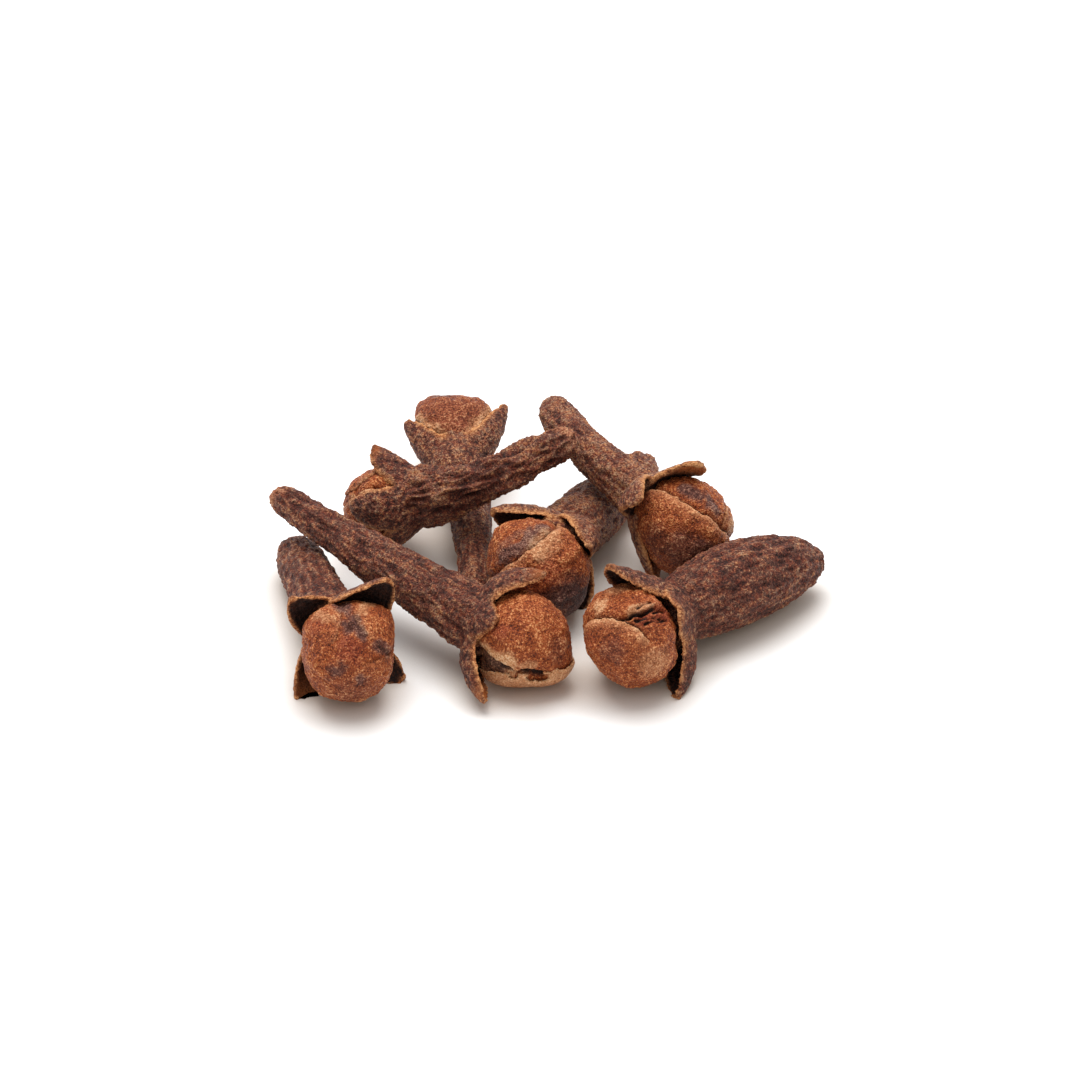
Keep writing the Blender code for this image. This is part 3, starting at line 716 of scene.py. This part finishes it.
def stem_relief(clove, points, on_lobe):
    """Height of the stem's skin, its painted light and shade, and how torn the stem's end is."""
    turned = points @ np.stack(axes_of(clove), -1)
    local = stem_coordinates(clove, points)
    folds = field(scaled(turned, FOLDS), seed_of(clove, "folds"))
    wrinkles = ridged(scaled(local, WRINKLES), seed_of(clove, "wrinkles"))
    lumps = rough_field(scaled(points, LUMPS), seed_of(clove, "lumps"), 2)
    grains = field(scaled(points, GRAINS), seed_of(clove, "grains"))
    streaks = field(scaled(local, STREAKS), seed_of(clove, "streaks")) * (1 - STREAKS.faint * on_lobe)
    height = clove.rough * FOLDS.height * folds * (1 - FOLDS.faint * on_lobe)
    height += clove.rough * WRINKLES.height * wrinkles * (1 - WRINKLES.faint * on_lobe)
    height += LUMPS.height * lumps
    height += GRAINS.height * grains
    height += STREAKS.height * streaks
    stem_length = travel_of(stem_stations(clove)[0])[-1]
    past = local[:, 0] + TORN_RAGGED * lumps - stem_length + TORN_REACH
    torn = clove.torn * smooth_step(0.0, TORN_BLEND, past) * (1 - on_lobe)
    height -= TORN_DEPTH * torn * (TORN_LEVEL + lumps)
    # Painted light and shade: raised skin is painted lighter and furrows darker. The clove's shade lifts
    # the whole stem, partly its own tone and partly painted light
    shade = WRINKLES.shade * wrinkles * clove.rough + LUMPS.shade * lumps + STREAKS.shade * streaks
    shade += (GRAINS.shade + LOBE_GRAINS * on_lobe) * grains
    return height, LEVEL_SHADE + shade + clove.shade / PAINTED_RELIEF_SHARE, torn


def make_stem(clove, material):
    """The stem with its four lobes, grown together and wrinkled."""
    lobes = [lobe_skin(clove, lobe) for lobe in clove.lobes]
    stem = loft(stem_rings(clove))
    parts = [stem] + [loft(lobe.rings) for lobe in lobes]
    mesh = grown_together(clove.node + "_stem", parts)
    relax(mesh, SMOOTHING)
    points = points_of(mesh)
    rims = spread(stem, lobes, "rim", 0.0, 1.0)
    hollow_shades = spread(stem, lobes, "hollow", 0.0, 0.0)
    glows = spread(stem, lobes, "glow", 0.0, 0.0)
    sources = join(parts)[0]
    on_lobes = (np.arange(len(sources)) >= len(stem[0])).astype(float)
    rim, hollow, glow, on_lobe = carried(points, sources, rims, hollow_shades, glows, on_lobes)
    height, shade, torn = stem_relief(clove, points, on_lobe)
    points = points + normals_of(mesh) * height[:, None]
    points[:, 2] = np.maximum(points[:, 2], 0.0)
    set_points(mesh, points * MM)
    # "height" carries the painted light and shade of the relief, "hollow" near-black painted shade inside
    # the lobes and "glow" orange that is partly painted light
    set_masks(mesh, {"rim": rim, "hollow": hollow, "glow": glow, "torn": torn, "height": shade})
    add_piece(clove.node + "_stem", clove.node, mesh, material)


def ball_grid(cells):
    """Directions and faces of a ball whose cells are nearly equal."""
    work = bmesh.new()
    bmesh.ops.create_cube(work, size=2.0)
    bmesh.ops.subdivide_edges(work, edges=work.edges, cuts=cells - 1, use_grid_fill=True)
    points = np.array([vertex.co for vertex in work.verts])
    faces = [[vertex.index for vertex in face.verts] for face in work.faces]
    work.free()
    points = np.tan(points * math.pi / 4)
    return points / np.linalg.norm(points, axis=1, keepdims=True), faces


def direction_of(clove, tilt, turn):
    """The direction at tilt degrees from the bud's top and turn degrees round."""
    along, upper, across = axes_of(clove)
    tilt, turn = math.radians(tilt), math.radians(turn)
    outward = upper * math.cos(turn) + across * math.sin(turn)
    return along * math.cos(tilt) + outward * math.sin(tilt)


def angle_from(directions, middle):
    """Degrees of each direction from another."""
    return np.degrees(np.arccos(np.clip(directions @ middle, -1, 1)))


def angle_from_line(directions, start, end):
    """Degrees from the straight line between two directions."""
    line = end - start
    share = np.clip((directions - start) @ line / (line @ line), 0.0, 1.0)
    return np.degrees(np.linalg.norm(directions - start - share[:, None] * line, axis=1))


def bulged(clove, directions, bulges):
    """How far the bulges lift the skin in each direction."""
    height = np.zeros(len(directions))
    for tilt, turn, lift in bulges:
        distance = angle_from(directions, direction_of(clove, tilt, turn))
        height += lift * np.exp(-((distance / BULGE_REACH) ** 2))
    return height


def petal_relief(clove, directions):
    """Height of the bud's skin, pale edges, painted shade in its seams, and where no petal is."""
    height, pale, groove = np.zeros((3, len(directions)))
    free = np.ones(len(directions), dtype=bool)
    wave = PETAL_WAVE * rough_field(directions * PETAL_WAVE_FINENESS, seed_of(clove, "petals"))
    for petal in reversed(clove.petals):
        middle = direction_of(clove, petal.tilt, petal.turn)
        inside = petal.reach + wave - angle_from(directions, middle)
        on = free & (inside > 0)
        off = free & (inside <= 0)
        seen = np.full(len(directions), petal.step)
        if petal.seam:
            tilt, turn, span = petal.seam
            distance = angle_from(directions, direction_of(clove, tilt, turn))
            seen *= 1 - smooth_step(*SEAM_FADE, distance / span)
        height[on] += PETAL_CROWN * seen[on] * (1 - np.exp(-inside[on] / PETAL_CROWN_WIDTH))
        height[off] -= PETAL_GROOVE * seen[off] * np.exp(inside[off] / PETAL_GROOVE_WIDTH)
        pale[on] += petal.paleness * (seen[on] > SEAM_LEAST) * np.exp(-inside[on] / PALE_BAND)
        # Painted shade on the lower petal along the edge of the one above it
        groove[off] += seen[off] * np.exp(inside[off] / PETAL_GROOVE_SHADE_WIDTH)
        free &= ~on
    return height, pale, groove, free


def crack_relief(clove, directions):
    """Height of the cracks and ridges in the bud's skin, and painted shade inside the cracks."""
    height, dark = np.zeros((2, len(directions)))
    bent = directions + CRACK_WAVE * np.stack([
        field(directions * CRACK_WAVE_FINENESS, seed_of(clove, "cracks") + axis) for axis in range(3)
    ], -1)
    for crack in clove.cracks:
        start, end = direction_of(clove, *crack.start), direction_of(clove, *crack.end)
        line = np.exp(-((angle_from_line(bent, start, end) / crack.width) ** 2))
        height -= crack.depth * line
        if crack.depth > 0:
            dark = np.maximum(dark, crack.dark * smooth_step(*CRACK_SHADE, line))
    return height, dark


def stain_masks(clove, directions, skin, free):
    """How pale, purple, red and dark the stains make each place."""
    masks = {kind: np.zeros(len(directions)) for kind in ("pale", "purple", "red", "under")}
    wave = STAIN_WAVE * rough_field(skin / STAIN_WAVE_LENGTH, seed_of(clove, "stains"))
    for stain in clove.stains:
        start = direction_of(clove, stain.tilt, stain.turn)
        if stain.end:
            distance = angle_from_line(directions, start, direction_of(clove, *stain.end))
        else:
            distance = angle_from(directions, start)
        fade = smooth_step(*STAIN_FADE, (distance + wave) / stain.reach)
        masks[stain.kind] = np.maximum(masks[stain.kind], stain.strength * (1 - fade))
    masks["under"] *= free
    return masks


def make_bud(clove, material, grid):
    """The closed bud: a lumpy ball with the overlapping edges of its petals."""
    directions, faces = grid
    radius = clove.radii[0]
    height, pale, groove, free = petal_relief(clove, directions)
    cracks, dark = crack_relief(clove, directions)
    skin = directions * radius
    lumps = rough_field(skin / BUD_LUMPS.width, seed_of(clove, "bud_lumps"), 2)
    knobs = field(skin / BUD_KNOBS.width, seed_of(clove, "bud_knobs"))
    grains = rough_field(skin / BUD_GRAINS.width, seed_of(clove, "bud_grains"), 2)
    height += cracks + bulged(clove, directions, clove.bulges)
    height += BUD_LUMPS.height * lumps + BUD_KNOBS.height * knobs + BUD_GRAINS.height * grains
    # Painted light and shade: raised skin is painted lighter and dips darker
    shade = BUD_LUMPS.shade * lumps + BUD_KNOBS.shade * knobs + BUD_GRAINS.shade * grains
    masks = stain_masks(clove, directions, skin, free)
    place = directions * (radius + height)[:, None]
    place[:, 2] *= clove.squash
    points = np.array(clove.bud) + place
    points[:, 2] = np.maximum(points[:, 2], 0.0)
    mesh = new_mesh(clove.node + "_bud", points * MM, faces)
    masks["pale"] = np.maximum(pale, masks["pale"]) * (1 - masks["under"])
    # Painted shade along the petal seams and inside the cracks
    masks["groove"] = np.maximum(groove, dark)
    masks["height"] = LEVEL_SHADE + shade
    set_masks(mesh, masks)
    add_piece(clove.node + "_bud", clove.node, mesh, material)


def shell_edge(clove, directions):
    """Degrees of each direction inside the shell's ragged and notched edge."""
    shell = clove.shell
    wave, fineness = SHELL_EDGE_WAVE
    inside = shell.reach - angle_from(directions, direction_of(clove, shell.tilt, shell.turn))
    inside += wave * rough_field(directions * fineness, seed_of(clove, "shell_edge"))
    wave, fineness = NOTCH_WAVE
    ragged = wave * rough_field(directions * fineness, seed_of(clove, "notches"))
    for tilt, turn, reach in shell.notches:
        distance = angle_from(directions, direction_of(clove, tilt, turn))
        inside = np.minimum(inside, distance - reach + ragged)
    return inside


def make_shell(clove, material, grid):
    """A papery petal that stands off the bud, with a ragged edge."""
    directions, faces = grid
    shell = clove.shell
    inside = shell_edge(clove, directions)
    wave, fineness = SHELL_FACE_WAVE
    radius = shell.radius + bulged(clove, directions, shell.bulges)
    radius += wave * rough_field(directions * fineness, seed_of(clove, "shell_face"))
    kept = [face for face in faces if all(inside[corner] > 0 for corner in face)]
    used = sorted({corner for face in kept for corner in face})
    place_of = {corner: index for index, corner in enumerate(used)}
    count = len(used)
    outer = directions[used] * radius[used, None]
    inner = directions[used] * (radius[used] - shell.thickness)[:, None]
    points = np.array(clove.bud) + np.concatenate((outer, inner))
    points[:, 2] = np.maximum(points[:, 2], 0.0)
    top = [[place_of[corner] for corner in face] for face in kept]
    edges = {(a, b) for face in top for a, b in zip(face, face[1:] + face[:1])}
    walls = [(b, a, a + count, b + count) for a, b in edges if (b, a) not in edges]
    bottom = [[corner + count for corner in reversed(face)] for face in top]
    mesh = new_mesh(clove.node + "_shell", points * MM, top + bottom + walls)
    rim = np.exp(-np.maximum(inside[used], 0.0) / PALE_BAND)
    masks = {name: np.zeros(2 * count) for name in ("groove", "purple", "red", "under")}
    masks["pale"] = SHELL_PALENESS + (1 - SHELL_PALENESS) * np.tile(rim, 2)
    masks["height"] = np.full(2 * count, LEVEL_SHADE)
    set_masks(mesh, masks)
    drop_scraps(mesh)
    add_piece(clove.node + "_shell", clove.node, mesh, material)


# Strength of the sheen on every material, and how crisp its coarser noises are
GLOSS = 0.22
NOISE_CRISPNESS = 0.6

# Places of the colour sockets on a mix node
MIX_AMOUNT = 0
MIX_FIRST = 6
MIX_SECOND = 7
MIX_RESULT = 2


class Graph:
    """A short way to build a material's nodes."""

    def __init__(self, name):
        self.material = bpy.data.materials.new(name)
        self.material.use_nodes = True
        self.tree = self.material.node_tree
        self.shader = self.tree.nodes["Principled BSDF"]
        self.shader.inputs["Specular IOR Level"].default_value = GLOSS

    def node(self, kind, inputs=(), **settings):
        """Adds a node, sets it and fills its inputs with values or other nodes' outputs."""
        node = self.tree.nodes.new(kind)
        for key, value in settings.items():
            setattr(node, key, value)
        for key, value in dict(inputs).items():
            if isinstance(value, bpy.types.NodeSocket):
                self.tree.links.new(value, node.inputs[key])
            else:
                node.inputs[key].default_value = value
        return node

    def mask(self, name):
        """The value that the mesh keeps under this name."""
        return self.node("ShaderNodeAttribute", attribute_name=name).outputs["Fac"]

    def math(self, operation, first, second, clamp=False):
        """The result of a sum or a product, kept from 0 to 1 if clamped."""
        node = self.node("ShaderNodeMath", {0: first, 1: second}, operation=operation, use_clamp=clamp)
        return node.outputs[0]

    def millimetres(self):
        """Places on the object in millimetres."""
        place = self.node("ShaderNodeTexCoord").outputs["Object"]
        scaled = self.node("ShaderNodeVectorMath", {0: place, "Scale": 1 / MM}, operation="SCALE")
        return scaled.outputs["Vector"]

    def noise(self, place, scale, detail, roughness=NOISE_CRISPNESS):
        """Smooth noise with this many cells to a millimetre."""
        inputs = {"Vector": place, "Scale": scale, "Detail": detail, "Roughness": roughness}
        return self.node("ShaderNodeTexNoise", inputs).outputs["Fac"]

    def granules(self, place, scale):
        """Distance from the middle of each granule, and a chance value for each."""
        cells = self.node("ShaderNodeTexVoronoi", {"Vector": place, "Scale": scale})
        chance = self.node("ShaderNodeSeparateColor", {0: cells.outputs["Color"]})
        return cells.outputs["Distance"], chance.outputs[0]

    def total(self, shift, *parts):
        """Sum of values times their weights, plus a shift."""
        whole = shift
        for value, weight in parts:
            whole = self.math("ADD", self.math("MULTIPLY", value, weight), whole)
        return whole

    def ramp(self, value, stops):
        """Colours at places from 0 to 1, blended between them."""
        node = self.node("ShaderNodeValToRGB", {"Fac": value})
        while len(node.color_ramp.elements) < len(stops):
            node.color_ramp.elements.new(0.5)
        for element, (place, colour) in zip(node.color_ramp.elements, stops):
            element.position = place
            element.color = (*colour, 1.0)
        return node.outputs["Color"]

    def mix(self, amount, first, second):
        """The first colour, turned into the second by an amount from 0 to 1."""
        node = self.node("ShaderNodeMix", data_type="RGBA")
        self.tree.links.new(amount, node.inputs[MIX_AMOUNT])
        for socket, colour in ((node.inputs[MIX_FIRST], first), (node.inputs[MIX_SECOND], second)):
            if isinstance(colour, bpy.types.NodeSocket):
                self.tree.links.new(colour, socket)
            else:
                socket.default_value = (*colour, 1.0)
        return node.outputs[MIX_RESULT]

    def finish(self, colour, height, roughness, depth):
        """Joins colour, bump and roughness to the shader."""
        self.tree.links.new(colour, self.shader.inputs["Base Color"])
        node = self.node("ShaderNodeBump", {"Height": height, "Strength": 1.0, "Distance": depth * MM})
        self.tree.links.new(node.outputs["Normal"], self.shader.inputs["Normal"])
        self.tree.links.new(roughness, self.shader.inputs["Roughness"])
        return self.material


# Colours of each part from its darkest to its lightest tone. The lightest tones of bark and
# bud are painted glints and painted light on raised skin, the darkest partly painted shade
# in furrows
BARK_STOPS = (
    (0.24, (0.013, 0.005, 0.004)),
    (0.46, (0.072, 0.026, 0.017)),
    (0.62, (0.155, 0.066, 0.042)),
    (0.84, (0.46, 0.26, 0.15)),
)
RED_BARK_STOPS = (
    (0.24, (0.020, 0.003, 0.002)),
    (0.46, (0.105, 0.020, 0.010)),
    (0.62, (0.230, 0.056, 0.026)),
    (0.84, (0.56, 0.25, 0.10)),
)
RIM_STOPS = (
    (0.25, (0.15, 0.040, 0.012)),
    (0.50, (0.46, 0.155, 0.048)),
    (0.80, (0.78, 0.390, 0.16)),
)
# Near-black painted shade inside the lobes, partly their own dark colour
HOLLOW_SHADE_STOPS = (
    (0.40, (0.008, 0.003, 0.002)),
    (0.80, (0.060, 0.018, 0.008)),
)
# Orange of the glow, partly the lobes' own colour and partly painted light
GLOW_COLOUR = (0.46, 0.13, 0.030)
TORN_STOPS = (
    (0.25, (0.070, 0.018, 0.008)),
    (0.50, (0.30, 0.095, 0.045)),
    (0.80, (0.64, 0.32, 0.17)),
)
BUD_STOPS = (
    (0.24, (0.048, 0.008, 0.003)),
    (0.43, (0.200, 0.035, 0.007)),
    (0.60, (0.390, 0.088, 0.018)),
    (0.82, (0.800, 0.370, 0.150)),
)
RED_STOPS = (
    (0.25, (0.050, 0.008, 0.003)),
    (0.50, (0.240, 0.034, 0.009)),
    (0.82, (0.620, 0.200, 0.080)),
)
STAIN_STOPS = (
    (0.25, (0.022, 0.008, 0.006)),
    (0.50, (0.090, 0.032, 0.024)),
    (0.66, (0.180, 0.080, 0.058)),
    (0.86, (0.540, 0.330, 0.240)),
)
UNDER_STOPS = (
    (0.30, (0.018, 0.007, 0.004)),
    (0.58, (0.110, 0.042, 0.022)),
    (0.85, (0.420, 0.220, 0.120)),
)
# Pale patches and petal edges, partly bleached skin and partly painted highlights
PALE_AND_HIGHLIGHT_STOPS = (
    (0.22, (0.34, 0.11, 0.036)),
    (0.46, (0.60, 0.26, 0.105)),
    (0.76, (0.84, 0.55, 0.32)),
)
# Painted shade along petal seams and inside cracks
GROOVE_SHADE_COLOUR = (0.022, 0.007, 0.004)


# Cells of the speckle and its granules to a millimetre, layers of the noises, how few
# granules carry painted glints, and what granules and speckle do to bumps and sheen
SPECKLE_FINENESS = 11.0
SPECKLE_DETAIL = 3.0
BLOTCH_DETAIL = 2.0
GLINT_RARITY = 7.0
GRANULE_BUMP = -0.7
SPECKLE_SHEEN = -0.35

# How crisp a finish's speckle is, the cells of its blotches to a millimetre, the shift of
# its tone and what speckle, painted glints, blotches and the relief's painted light and shade
# weigh in it, its roughness, and the depth of its bumps
Finish = namedtuple(
    "Finish", "crispness fineness shift speckle dots blotch relief roughness depth"
)
BARK_FINISH = Finish(0.70, 0.9, -0.42, 1.26, 0.14, 0.26, PAINTED_RELIEF_SHARE, 0.75, 0.12)
BUD_FINISH = Finish(0.65, 0.8, -0.365, 1.26, 0.10, 0.26, 0.24, 0.68, 0.11)

# Redder patches of the bark: cells to a millimetre, where they start, how sharply
RED_FINENESS = 4.5
RED_START = 0.37
RED_SHARPNESS = 4.0

# How full a lobe's rim is in its colour, and how much the speckle changes that
RIM_LEVEL = 0.50
RIM_SPECKLE = 0.9


def make_grain(graph, finish):
    """The grain's place, tone with painted glints and shading, speckle, bumps and roughness."""
    place = graph.millimetres()
    speckle = graph.noise(place, SPECKLE_FINENESS, SPECKLE_DETAIL, finish.crispness)
    distance, chance = graph.granules(place, SPECKLE_FINENESS)
    blotch = graph.noise(place, finish.fineness, BLOTCH_DETAIL)
    dots = graph.math("POWER", chance, GLINT_RARITY)
    parts = ((speckle, finish.speckle), (dots, finish.dots), (blotch, finish.blotch))
    # The tone takes painted glints and, through "height", the painted light and shade of the relief
    tone = graph.total(finish.shift, *parts, (graph.mask("height"), finish.relief))
    height = graph.total(0.0, (speckle, 1.0), (distance, GRANULE_BUMP))
    roughness = graph.total(finish.roughness, (speckle, SPECKLE_SHEEN))
    return place, tone, speckle, height, roughness


def make_bark_material():
    """Dark brown bark with a crisp speckle, light brown rims and painted near-black shade in lobes."""
    graph = Graph("clove_bark_finish")
    place, tone, speckle, height, roughness = make_grain(graph, BARK_FINISH)
    patches = graph.total(-RED_START, (graph.noise(place, RED_FINENESS, SPECKLE_DETAIL), 1.0))
    redness = graph.math("MULTIPLY", patches, RED_SHARPNESS, clamp=True)
    colour = graph.mix(redness, graph.ramp(tone, BARK_STOPS), graph.ramp(tone, RED_BARK_STOPS))
    # The "hollow" layer is near-black painted shade inside the lobes, partly their own colour
    for name, stops in (("torn", TORN_STOPS), ("hollow", HOLLOW_SHADE_STOPS)):
        colour = graph.mix(graph.mask(name), colour, graph.ramp(tone, stops))
    # Glow, partly the lobes' own orange and partly painted light
    colour = graph.mix(graph.mask("glow"), colour, GLOW_COLOUR)
    fullness = graph.total(RIM_LEVEL, (speckle, RIM_SPECKLE))
    rim = graph.math("MULTIPLY", graph.mask("rim"), fullness, clamp=True)
    colour = graph.mix(rim, colour, graph.ramp(tone, RIM_STOPS))
    return graph.finish(colour, height, roughness, BARK_FINISH.depth)


def make_bud_material():
    """Orange-brown petals with a crisp speckle, purple-brown stains and pale edges."""
    graph = Graph("clove_bud_finish")
    _, tone, _, height, roughness = make_grain(graph, BUD_FINISH)
    colour = graph.ramp(tone, BUD_STOPS)
    # The "pale" layer is partly bleached skin and partly painted highlights
    layers = {"red": RED_STOPS, "purple": STAIN_STOPS, "pale": PALE_AND_HIGHLIGHT_STOPS, "under": UNDER_STOPS}
    for name, stops in layers.items():
        colour = graph.mix(graph.mask(name), colour, graph.ramp(tone, stops))
    # Painted shade along petal seams and inside cracks
    colour = graph.mix(graph.mask("groove"), colour, GROOVE_SHADE_COLOUR)
    return graph.finish(colour, height, roughness, BUD_FINISH.depth)


# The camera looks along +Y and down at the heap from far off, aimed at a point on the
# floor. The photograph shows so many of its pixels to a millimetre there
PHOTO_WIDTH = 1081
PIXELS_PER_MM = 20.0
CAMERA_DISTANCE = 300.0
CAMERA_ELEVATION = 35.0
CAMERA_AIM = (-0.1, 3.9, 0.0)
SENSOR_WIDTH = 36.0

# Shortest distance that the camera shows, and side of the square floor, both in metres
CLIP_START = 0.01
FLOOR_SIZE = 4.0
FLOOR_COLOUR = (0.87, 0.87, 0.87)
FLOOR_ROUGHNESS = 0.9

# The floor takes on a warm tint where cloves close above it shade it
SHADED_COLOUR = (0.58, 0.45, 0.33)
SHADED_REACH = 2.6
SHADED_SAMPLES = 8
WHITE = (1.0, 1.0, 1.0, 1.0)
WORLD_STRENGTH = 0.79

# Soft box above the heap and a little behind it, with its power in watts
KEY_PLACE = (-15.0, 62.0, 200.0)
KEY_WIDTH = 200.0
KEY_POWER = 0.61


def make_camera():
    """The camera at the photograph's viewing angle."""
    tilt = math.radians(CAMERA_ELEVATION)
    back = Vector((0.0, -math.cos(tilt), math.sin(tilt)))
    data = bpy.data.cameras.new("camera")
    data.sensor_width = SENSOR_WIDTH
    data.lens = SENSOR_WIDTH * PIXELS_PER_MM * CAMERA_DISTANCE / PHOTO_WIDTH
    data.clip_start = CLIP_START
    camera = bpy.data.objects.new("camera", data)
    camera.location = (Vector(CAMERA_AIM) + back * CAMERA_DISTANCE) * MM
    camera.rotation_euler = (math.pi / 2 - tilt, 0.0, 0.0)
    bpy.context.scene.collection.objects.link(camera)
    bpy.context.scene.camera = camera


def make_floor():
    """A plain pale floor, which isn't part of the object."""
    bpy.ops.mesh.primitive_plane_add(size=FLOOR_SIZE)
    floor = bpy.context.object
    floor.name = "floor"
    graph = Graph("floor_finish")
    reach = {"Distance": SHADED_REACH * MM}
    openness = graph.node("ShaderNodeAmbientOcclusion", reach, samples=SHADED_SAMPLES)
    shade = graph.mix(openness.outputs["AO"], SHADED_COLOUR, FLOOR_COLOUR)
    graph.tree.links.new(shade, graph.shader.inputs["Base Color"])
    graph.shader.inputs["Roughness"].default_value = FLOOR_ROUGHNESS
    floor.data.materials.append(graph.material)


def make_light():
    """White surroundings and a soft box above."""
    world = bpy.data.worlds.new("studio")
    world.use_nodes = True
    background = world.node_tree.nodes["Background"]
    background.inputs["Color"].default_value = WHITE
    background.inputs["Strength"].default_value = WORLD_STRENGTH
    bpy.context.scene.world = world
    data = bpy.data.lights.new("soft_box", "AREA")
    data.shape = "SQUARE"
    data.size = KEY_WIDTH * MM
    data.energy = KEY_POWER
    lamp = bpy.data.objects.new("soft_box", data)
    lamp.location = Vector(KEY_PLACE) * MM
    lamp.rotation_euler = (-Vector(KEY_PLACE)).to_track_quat("-Z", "Y").to_euler()
    bpy.context.scene.collection.objects.link(lamp)


def main():
    """Builds the heap and its setting."""
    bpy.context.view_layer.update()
    make_camera()
    make_floor()
    make_light()
    bark = make_bark_material()
    petal = make_bud_material()
    grid = ball_grid(BUD_CELLS)
    for clove in CLOVES:
        make_stem(clove, bark)
        make_bud(clove, petal, grid)
        if clove.shell:
            make_shell(clove, petal, grid)
    bpy.context.scene.view_settings.view_transform = "Standard"
    bpy.context.view_layer.update()


main()
